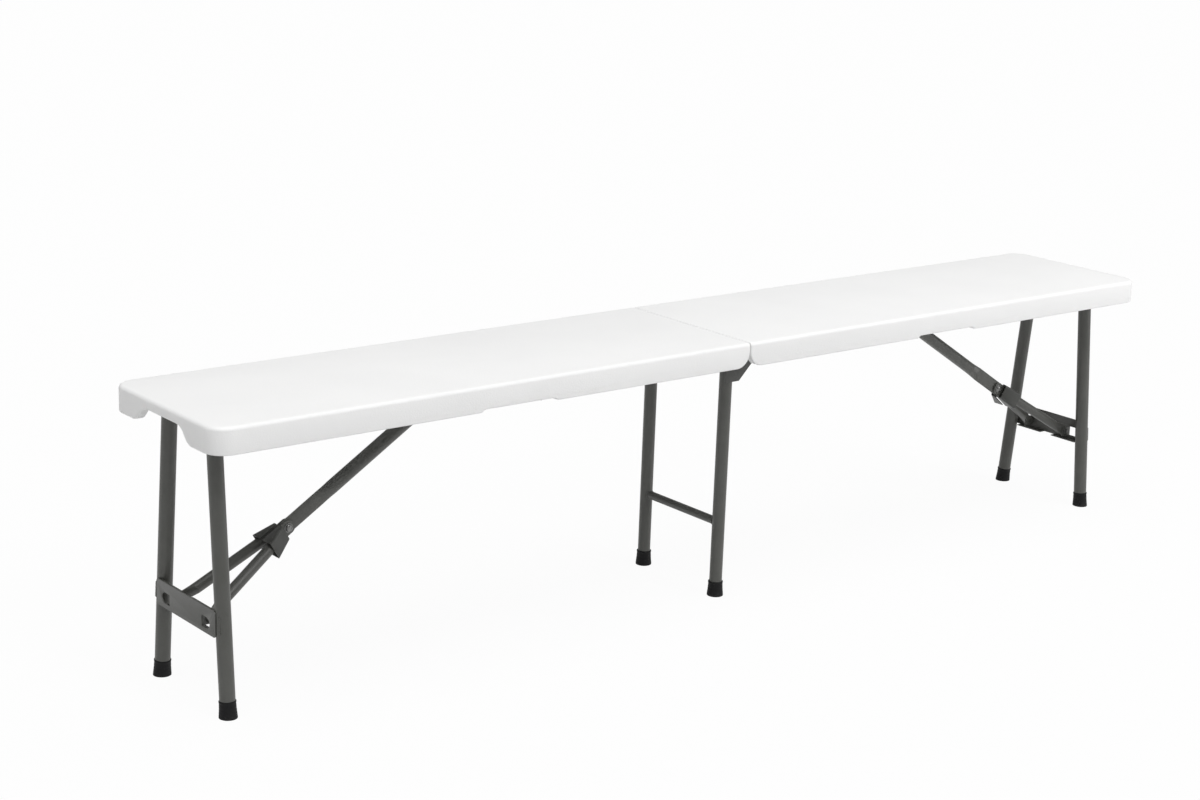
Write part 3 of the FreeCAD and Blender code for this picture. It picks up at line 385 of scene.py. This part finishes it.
def seat_shell(side):
    """One seat half: a box with its underside and seam side open, given a wall."""
    low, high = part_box(f"seat_{SIDE_NAMES[side]}")
    end = low.x if side == LEFT else high.x
    seam = high.x if side == LEFT else low.x
    mesh = bmesh.new()
    bmesh.ops.create_cube(mesh, size=1)
    bmesh.ops.scale(mesh, vec=high - low, verts=mesh.verts)
    bmesh.ops.translate(mesh, vec=(low + high) / 2, verts=mesh.verts)

    def on_rim(a, b):
        return near_value(a.z, low.z) and near_value(b.z, low.z)

    uprights = edges_where(mesh, lambda a, b: near_value(a.x, end) and near_value(b.x, end)
                           and near_value(a.y, b.y))
    rounded(mesh, uprights, CORNER_RADIUS, 10)
    top_edges = edges_where(mesh, lambda a, b: near_value(a.z, high.z) and near_value(b.z, high.z)
                            and not (near_value(a.x, seam) and near_value(b.x, seam)))
    rounded(mesh, top_edges, TOP_RADIUS, 5)
    open_faces = [face for face in mesh.faces
                  if all(near_value(vert.co.z, low.z) for vert in face.verts)
                  or all(near_value(vert.co.x, seam) for vert in face.verts)]
    bmesh.ops.delete(mesh, geom=open_faces, context="FACES")
    corners = [vert for vert in mesh.verts
               if near_value(vert.co.x, seam) and near_value(vert.co.z, low.z)]
    rounded(mesh, corners, SEAM_CORNER_RADIUS, 8, "VERTICES")
    end_rim = edges_where(mesh, lambda a, b: near_value(a.x, end) and near_value(b.x, end)
                          and on_rim(a, b))
    notch_top = low.z + NOTCH_RISE
    notch_rim(mesh, end_rim[0], 1,
              [(-NOTCH_FOOT, low.z), (-NOTCH_TOP, notch_top), (NOTCH_TOP, notch_top),
               (NOTCH_FOOT, low.z)], NOTCH_RADIUS)
    near_rim = edges_where(mesh, lambda a, b: near_value(a.y, low.y) and near_value(b.y, low.y)
                           and on_rim(a, b) and abs(a.x - b.x) > 100 * MM)
    grip_top = low.z + GRIP_RISE
    notch_rim(mesh, near_rim[0], 0,
              [(side * GRIP_INNER, low.z), (side * (GRIP_INNER + GRIP_RISE), grip_top),
               (side * (GRIP_OUTER - GRIP_RISE), grip_top), (side * GRIP_OUTER, low.z)],
              GRIP_RADIUS)
    outside = {rounded_place(vert) for vert in mesh.verts}
    rim = {rounded_place(vert) for vert in mesh.verts if vert.is_boundary}
    bmesh.ops.solidify(mesh, geom=mesh.faces[:], thickness=SHELL)
    for vert in mesh.verts:
        if rounded_place(vert) not in outside:
            tuck_in(vert, high)
    bmesh.ops.remove_doubles(mesh, verts=mesh.verts, dist=1e-5)
    bmesh.ops.recalc_face_normals(mesh, faces=mesh.faces[:])
    lips = [edge for edge in sharp_edges(mesh) if rim.issuperset(map(rounded_place, edge.verts))]
    rounded(mesh, lips, RIM_RADIUS, 4)
    underside_pockets(mesh, side, end, high.z - SHELL)
    if side == LEFT:
        bracket_slots(mesh, seam, high.z - SHELL)
    return mesh


def under_faces(mesh, height):
    return [face for face in mesh.faces
            if face.normal.z < -0.9 and near_value(face.calc_center_median().z, height)]


def split(mesh, faces, axis, value):
    """Splits faces where a plane across one axis crosses them."""
    geometry = set(faces)
    for face in faces:
        geometry.update(face.edges)
        geometry.update(face.verts)
    centre, normal = Vector((0, 0, 0)), Vector((0, 0, 0))
    centre[axis], normal[axis] = value, 1
    bmesh.ops.bisect_plane(mesh, geom=list(geometry), dist=1e-6, plane_co=centre, plane_no=normal)


def bracket_slots(mesh, seam, height):
    """Cuts the slots, open at the seam, that take the other half's gusset plates when folded."""
    def at_seam(face):
        return all(near_value(vert.co.x, seam) for vert in face.verts)

    def in_slot(face):
        return SLOT_INNER < abs(face.calc_center_median().y) < SLOT_OUTER

    split(mesh, under_faces(mesh, height), 0, -SLOT_END)
    for value in (-SLOT_OUTER, -SLOT_INNER, SLOT_INNER, SLOT_OUTER):
        seam_faces = [face for face in mesh.faces if at_seam(face)]
        split(mesh, under_faces(mesh, height) + seam_faces, 1, value)
    slot_ends = [face for face in mesh.faces if at_seam(face) and in_slot(face)]
    split(mesh, slot_ends, 2, height + SLOT_RISE)
    floor = [face for face in under_faces(mesh, height)
             if in_slot(face) and face.calc_center_median().x > -SLOT_END]
    made = bmesh.ops.extrude_face_region(mesh, geom=floor)["geom"]
    bmesh.ops.translate(mesh, vec=(0, 0, SLOT_RISE),
                        verts=[part for part in made if isinstance(part, bmesh.types.BMVert)])
    bmesh.ops.delete(mesh, geom=floor, context="FACES")
    mouths = [face for face in mesh.faces if at_seam(face) and in_slot(face)
              and face.calc_center_median().z < height + SLOT_RISE]
    bmesh.ops.delete(mesh, geom=mouths, context="FACES")
    bmesh.ops.remove_doubles(mesh, verts=mesh.verts, dist=1e-6)


def underside_pockets(mesh, side, end, height):
    """Pinches the rows of tack-offs, and the recess for the folded collar, up into the slab."""
    near, far = sorted((side * RECESS_NEAR, side * RECESS_FAR))
    tacks = []
    for index in range(TACK_COUNT):
        start = end - side * (TACK_EDGE + index * TACK_PITCH)
        low, high = sorted((start, start - side * TACK_LENGTH))
        tacks += [(low, high, row - TACK_WIDTH / 2, row + TACK_WIDTH / 2) for row in TACK_ROWS
                  if row or high < near or low > far]
    recess = (near, far, -RECESS_HALF_WIDTH, RECESS_HALF_WIDTH)
    for axis in (0, 1):
        limits = {value for box in tacks + [recess] for value in box[2 * axis:2 * axis + 2]}
        for value in sorted(limits):
            split(mesh, under_faces(mesh, height), axis, value)
    for rise, boxes in ((TACK_DEPTH, tacks), (RECESS_RISE, [recess])):
        pockets = []
        for face in under_faces(mesh, height):
            x, y, _ = face.calc_center_median()
            if any(a < x < b and c < y < d for a, b, c, d in boxes):
                pockets.append(face)
        bmesh.ops.inset_region(mesh, faces=pockets, thickness=POCKET_SLOPE, use_even_offset=True)
        lifted = {vert for face in pockets for vert in face.verts}
        bmesh.ops.translate(mesh, vec=(0, 0, rise), verts=list(lifted))


for side in (LEFT, RIGHT):
    put(f"seat_shell_{SIDE_NAMES[side]}", seat_shell(side), SEAT,
        f"{SIDE_NAMES[side]}_half", [f"seat_{SIDE_NAMES[side]}"], rounding=1 * MM)


# Feet

CAP_STOCK = 3 * MM
END_LEG_X = 870 * MM
END_LEG_FEET = 92 * MM
END_LEG_TOPS = 59.5 * MM
LEG_PIVOT_Z = 392.6 * MM
CENTRE_LEG_Y = 88 * MM
SOLE_INSET, SOLE_DISH, SOLE_ROUNDING = 4 * MM, 1.2 * MM, 1.8 * MM
END_CAP_RADII = (11, 11.7, 12.9)
CENTRE_CAP_RADII = (10, 11.4, 12.9)


def foot_cap(foot, top, tube, rim, base):
    """A moulded cap on a tube's end, cut level with the floor: tube, rim and base radii in mm."""
    along = (top - foot).normalized()
    waist = (rim + base) / 2
    mesh = bmesh.new()
    turned(mesh, [
        (0, 0), (0, base), (4, base - 0.05), (7, base - 0.25),
        (8, base - 0.6), (9, base - 0.4), (11, waist), (12, waist - 0.35), (13, waist - 0.1),
        (15, waist - 0.3), (16, waist - 0.65), (17, waist - 0.4), (21, rim), (24.2, rim - 0.1),
        (24.8, rim + 0.3), (26.3, rim + 0.3), (27, rim - 0.2), (27, tube + 0.06), (7, tube + 0.06),
        (7, 0)], foot - along * CAP_STOCK, along, 40)
    bmesh.ops.bisect_plane(mesh, geom=mesh.verts[:] + mesh.edges[:] + mesh.faces[:], dist=1e-6,
                           plane_co=(0, 0, 0), plane_no=(0, 0, 1), clear_inner=True)
    rim_edges = [edge for edge in mesh.edges if edge.is_boundary]
    sole = bmesh.ops.contextual_create(mesh, geom=rim_edges)["faces"]
    bmesh.ops.recalc_face_normals(mesh, faces=mesh.faces[:])
    bmesh.ops.inset_region(mesh, faces=sole, thickness=SOLE_INSET, depth=-SOLE_DISH)
    rounded(mesh, [edge for edge in sharp_edges(mesh, 60)
                   if all(near_value(vert.co.z, 0) for vert in edge.verts)], SOLE_ROUNDING, 4)
    return mesh


for side in (LEFT, RIGHT):
    for row in (NEAR, FAR):
        label = f"{ROW_NAMES[row]}_{SIDE_NAMES[side]}"
        cap = foot_cap(Vector((side * END_LEG_X, row * END_LEG_FEET, 0)),
                       Vector((side * END_LEG_X, row * END_LEG_TOPS, LEG_PIVOT_Z)),
                       *END_CAP_RADII)
        put(f"foot_cap_{label}", cap, RUBBER, f"{SIDE_NAMES[side]}_legs",
            [f"end_foot_{label}"], crease=60)
for row in (NEAR, FAR):
    ground = Vector((0, row * CENTRE_LEG_Y, 0))
    cap = foot_cap(ground, ground + Vector((0, 0, 1)), *CENTRE_CAP_RADII)
    put(f"foot_cap_middle_{ROW_NAMES[row]}", cap, RUBBER, "middle_legs",
        [f"centre_foot_{ROW_NAMES[row]}"], crease=60)


# Rivets, bolts and screws

HINGE_Z = 379.6 * MM
KNEE_X = 724.5 * MM
KNEE_Z = 216.6 * MM
LUG_Z = 126 * MM
LUG_FACE_Y = 44.4 * MM
KNEE_FACE_Y = 5.9 * MM
EAR_FACE_Y = 105.3 * MM
RAIL_FLANGE_Z = 404 * MM
SCREW_ROW = 117
RAIL_SCREWS = (150, 300, 520, 690, 830)
HINGE_SCREWS = (28, 50)
HANDLE_SCREWS = (-372, -485)
BRACKET_SHEET, HANDLE_SHEET = 3 * MM, 1.5 * MM
KNEE_HEAD = (7, 5.4, 2.4, 3)
LUG_HEAD = (6, 5.2, 2.4, 4.7)
HINGE_BOLT = (6.5, 5.4, 3.5, 4, 27.3)
SCREW_HEAD = (4, 3.1, 2.4, 2)


def dome_rivet(mesh, face, axis, washer, dome, rise, shank):
    """A washer and a domed head on a face, with the rivet's shank behind them, in mm."""
    curve = [(0.6 + rise * math.sin(turn), dome * math.cos(turn)) for turn in
             (0, 0.35, 0.7, 1.0, 1.3)]
    turned(mesh, [(-shank, 0), (-shank, 4), (0, 4), (0, washer), (0.45, washer),
                  (0.6, washer - 0.25), *curve, (0.6 + rise, 0)], face, axis)


def hex_bolt(mesh, face, axis, flange, hexagon, height, shank, length):
    """A hexagon head on a round flange, with its shank behind the face, in mm."""
    turned(mesh, [(-length, 0), (-length, 0.7 * shank), (-length + 0.5 * shank, shank), (0, shank),
                  (0, flange), (0.4, flange), (0.8, 0.9 * flange), (0.8, 0)], face, axis, 24)
    before = set(mesh.verts)
    bmesh.ops.create_cone(mesh, cap_ends=True, segments=6, radius1=hexagon * MM,
                          radius2=hexagon * MM, depth=height * MM)
    fresh = [vert for vert in mesh.verts if vert not in before]
    crown = [edge for vert in fresh for edge in vert.link_edges
             if all(end.co.z > 0 for end in edge.verts)]
    rounded(mesh, list(set(crown)), 0.16 * hexagon * MM, 2)
    fresh = [vert for vert in mesh.verts if vert not in before]
    stand = aimed(face, axis) @ Matrix.Translation((0, 0, height * MM / 2))
    bmesh.ops.transform(mesh, matrix=stand, verts=fresh)


for side in (LEFT, RIGHT):
    label = SIDE_NAMES[side]
    mesh = bmesh.new()
    for row in (NEAR, FAR):
        knee = Vector((side * KNEE_X, row * KNEE_FACE_Y, KNEE_Z))
        dome_rivet(mesh, knee, (0, row, 0), *KNEE_HEAD)
    put(f"knee_rivet_heads_{label}", mesh, RIVET_STEEL, f"{label}_fork",
        [f"knee_rivet_{label}"])
    mesh = bmesh.new()
    for row in (NEAR, FAR):
        lug = Vector((side * END_LEG_X, row * LUG_FACE_Y, LUG_Z))
        dome_rivet(mesh, lug, (0, row, 0), *LUG_HEAD)
    # The lug rivet heads take the darkened coat: painted shade for the shade inside the crossbar
    # window.
    put(f"lug_rivet_heads_{label}", mesh, SHADE_DARKENED_COAT, f"{label}_legs",
        [f"lug_rivets_{label}"])

for row in (NEAR, FAR):
    mesh = bmesh.new()
    hex_bolt(mesh, Vector((0, row * EAR_FACE_Y, HINGE_Z)), (0, row, 0), *HINGE_BOLT)
    put(f"hinge_bolt_head_{ROW_NAMES[row]}", mesh, STEEL, "left_half",
        [f"hinge_bolt_{ROW_NAMES[row]}"])


def screws(name, places, top, length, body, nodes):
    """Flanged hexagon screws driven up from below at each (x, y) in millimetres."""
    mesh = bmesh.new()
    for x, y in places:
        hex_bolt(mesh, Vector((x * MM, y * MM, top)), (0, 0, -1), *SCREW_HEAD, length)
    put(name, mesh, STEEL, body, nodes)


for side in (LEFT, RIGHT):
    label = SIDE_NAMES[side]
    screws(f"rail_screw_heads_{label}",
           [(side * x, row * SCREW_ROW) for x in RAIL_SCREWS for row in (NEAR, FAR)],
           RAIL_FLANGE_Z, 7, f"{label}_half", [f"rail_screws_{label}"])
    screws(f"hinge_screw_heads_{label}",
           [(side * x, row * SCREW_ROW) for x in HINGE_SCREWS for row in (NEAR, FAR)],
           RAIL_FLANGE_Z - BRACKET_SHEET, 10, f"{label}_half", [f"hinge_screws_{label}"])
screws("handle_screw_heads", [(x, -SCREW_ROW) for x in HANDLE_SCREWS],
       RAIL_FLANGE_Z - HANDLE_SHEET, 8.5, "left_half", ["handle_screws"])


# Sheet metal, the collars and the carry handle

CROSSBAR_FACE_X = 882 * MM
CROSSBAR_Z = 130 * MM
BEND_OFFSET = 17 * MM
WINDOW_INNER, WINDOW_OUTER = 59 * MM, 67 * MM
PLATE_END = 80 * MM


def along_x(a, b):
    """An edge that runs along the bench, through the sheet's thickness."""
    return near_value(a.y, b.y) and near_value(a.z, b.z)


def channel_bend(a, b):
    """The long outer edges of the pressed crossbar."""
    return (min(abs(a.x), abs(b.x)) > CROSSBAR_FACE_X and near_value(a.z, b.z)
            and abs(a.z - CROSSBAR_Z) > BEND_OFFSET)


def window_corner(a, b):
    return along_x(a, b) and WINDOW_INNER < abs(a.y) < WINDOW_OUTER


def plate_corner(a, b):
    return along_x(a, b) and abs(a.y) > PLATE_END


# The collars, gusset plates, bolt plates and handle brackets below take the darkened coat: painted
# shade.
for side in (LEFT, RIGHT):
    label = SIDE_NAMES[side]
    softened(f"leg_crossbar_{label}", f"pressed_crossbar_{label}", COAT,
             0.4 * MM, [(plate_corner, 5 * MM), (window_corner, 3 * MM), (channel_bend, 1.3 * MM)])
    softened(f"lock_collar_{label}", f"pressed_collar_{label}", SHADE_DARKENED_COAT,
             0.5 * MM)
    for row in ROW_NAMES.values():
        softened(f"side_rail_{row}_{label}", f"angle_rail_{row}_{label}", COAT,
                 0.5 * MM)
for row in ROW_NAMES.values():
    softened(f"hinge_bracket_{row}", f"gusset_plate_{row}", SHADE_DARKENED_COAT, 0.6 * MM)
    softened(f"hinge_ear_{row}", f"bolt_plate_{row}", SHADE_DARKENED_COAT, 0.6 * MM)
for place in ("inner", "outer"):
    softened(f"handle_ear_{place}", f"handle_bracket_{place}", SHADE_DARKENED_COAT,
             0.3 * MM)
softened("carry_handle", "moulded_handle", HANDLE, 1.2 * MM)


# Weld beads

PIVOT_TUBE_RADIUS = 11.4 * MM
CROSSBAR_WELDS = (118 * MM, 142 * MM)
WELD_X, WELD_Y = 9.6 * MM, 5.6 * MM
CENTRE_WELD_Y = 78.6 * MM
CENTRE_CROSSBAR_Z = 120 * MM


def bead_ring(mesh, base, axis, ring, bead):
    """A rippled ring of weld about an axis, in millimetres."""
    profile = [(bead * math.sin(turn * math.tau / 8), ring + bead * math.cos(turn * math.tau / 8))
               for turn in range(9)]
    return turned(mesh, profile, base, axis, 60)


def bead_run(mesh, start, end, bead):
    """A short rippled run of weld between two points."""
    length = (end - start).length / MM
    waves = round(length / (1.5 * bead))
    profile = [(0, 0)]
    for index in range(4 * waves + 1):
        share = index / (4 * waves)
        taper = min(1, 0.5 + 8 * min(share, 1 - share))
        ripple = 1 + 0.12 * math.cos(math.tau * waves * share)
        profile.append((share * length, bead * taper * ripple))
    turned(mesh, profile + [(length, 0)], start, (end - start).normalized(), 12)


def end_frame_welds(side):
    """Beads where the legs meet the pivot tube and the crossbar."""
    mesh = bmesh.new()
    for row in (NEAR, FAR):
        foot = Vector((side * END_LEG_X, row * END_LEG_FEET, 0))
        top = Vector((side * END_LEG_X, row * END_LEG_TOPS, LEG_PIVOT_Z))
        along = (top - foot).normalized()
        for vert in bead_ring(mesh, top, along, 11.1, 1.3):
            across = vert.co.x - top.x
            vert.co -= along * math.sqrt(max(PIVOT_TUBE_RADIUS ** 2 - across ** 2, 0))
        for hand in (-1, 1):
            run = []
            for height in CROSSBAR_WELDS:
                centre = foot + along * (height / along.z)
                run.append(centre + Vector((side * WELD_X, hand * WELD_Y, 0)))
            bead_run(mesh, *run, 1.5)
    return mesh


def centre_frame_welds():
    """Beads where the top bar and the crossbar meet the middle legs."""
    mesh = bmesh.new()
    for row in (NEAR, FAR):
        for height, ring in ((HINGE_Z, 9), (CENTRE_CROSSBAR_Z, 6.5)):
            bead_ring(mesh, Vector((0, row * CENTRE_WELD_Y, height)), (0, 1, 0), ring, 1.3)
    return mesh


for side in (LEFT, RIGHT):
    put(f"end_frame_welds_{SIDE_NAMES[side]}", end_frame_welds(side), COAT,
        f"{SIDE_NAMES[side]}_legs")
put("centre_frame_welds", centre_frame_welds(), COAT, "middle_legs")


# Finishes of the pieces that keep their CAD shape

FINISH_BY_START = (
    ("seat", SEAT), ("carry_handle", HANDLE), ("end_foot", RUBBER), ("centre_foot", RUBBER),
    ("handle_", STEEL), ("knee_rivet", STEEL), ("lug_rivets", STEEL), ("rail_screws", STEEL),
    ("hinge_screws", STEEL), ("hinge_bolt", STEEL), ("arm_rod", STEEL),
)
for node, item in NODES.items():
    finish = next((made for start, made in FINISH_BY_START if node.startswith(start)), COAT)
    item.data.materials.clear()
    item.data.materials.append(finish)


# Floor, light and camera

def make_floor():
    """A wide white sweep that camera and mirror rays see nearly white, with the shadow kept."""
    mesh = bmesh.new()
    bmesh.ops.create_grid(mesh, x_segments=1, y_segments=1, size=60)
    data = bpy.data.meshes.new("floor")
    mesh.to_mesh(data)
    mesh.free()
    floor = placed("floor", data)
    finish = Finish("white_floor")
    rays = finish.tree.nodes.new("ShaderNodeLightPath")
    camera_ray = Value(finish, rays.outputs["Is Camera Ray"])
    seen = camera_ray + Value(finish, rays.outputs["Is Glossy Ray"])
    glow = finish.node("ShaderNodeEmission", None, {"Color": (1, 1, 1, 1), "Strength": 1.0})
    body = Value(finish, finish.shader.outputs[0])
    finish.shade(Base_Color=(0.68, 0.68, 0.68, 1), Roughness=0.9)
    mixed = finish.node("ShaderNodeMixShader", None, {0: seen * 0.95, 1: body, 2: glow})
    finish.tree.links.new(mixed.socket, finish.tree.nodes["Material Output"].inputs["Surface"])
    data.materials.append(finish.material)


def sun(name, strength, spread, toward):
    """A soft distant lamp shining along a direction."""
    data = bpy.data.lights.new(name, "SUN")
    data.energy = strength
    data.angle = math.radians(spread)
    placed(name, data).rotation_euler = Vector(toward).to_track_quat("-Z", "Y").to_euler()


def soft_box(name, power, width, place, target):
    """A square lamp at a place, facing a target."""
    data = bpy.data.lights.new(name, "AREA")
    data.energy = power
    data.size = width
    lamp = placed(name, data)
    lamp.location = place
    lamp.rotation_euler = (Vector(target) - Vector(place)).to_track_quat("-Z", "Y").to_euler()


CAMERA_PLACE = (-2.2966, -2.6127, 1.2272)
CAMERA_ANGLES = (39.08, 15.07, 2.092)
CAMERA_LENS = 68.98


def make_camera():
    """The photograph's camera, from its azimuth, its angle below level and its roll."""
    azimuth, down, roll = (math.radians(angle) for angle in CAMERA_ANGLES)
    ahead = Vector((math.sin(azimuth) * math.cos(down), math.cos(azimuth) * math.cos(down),
                    -math.sin(down)))
    level = Vector((math.cos(azimuth), -math.sin(azimuth), 0))
    upward = level.cross(ahead)
    right = level * math.cos(roll) + upward * math.sin(roll)
    up = upward * math.cos(roll) - level * math.sin(roll)
    data = bpy.data.cameras.new("camera")
    data.sensor_width = 36
    data.lens = CAMERA_LENS
    data.clip_end = 200
    camera = placed("camera", data)
    turn = Matrix((right, up, -ahead)).transposed().to_4x4()
    camera.matrix_world = Matrix.Translation(CAMERA_PLACE) @ turn
    bpy.context.scene.camera = camera


def make_world():
    """An even white surround."""
    world = bpy.data.worlds.new("studio")
    world.use_nodes = True
    background = world.node_tree.nodes["Background"]
    background.inputs["Color"].default_value = (1, 1, 1, 1)
    background.inputs["Strength"].default_value = 0.32
    bpy.context.scene.world = world


make_floor()
make_world()
sun("overhead_lamp", 2.16, 50, (0.12, 0.2, -1))
sun("front_lamp", 0.7, 18, (-0.2, 0.74, -0.64))
soft_box("side_lamp", 9, 1.2, (1.9, -1.7, 0.9), (0.5, 0, 0.3))
make_camera()
bpy.context.scene.view_settings.view_transform = "Standard"
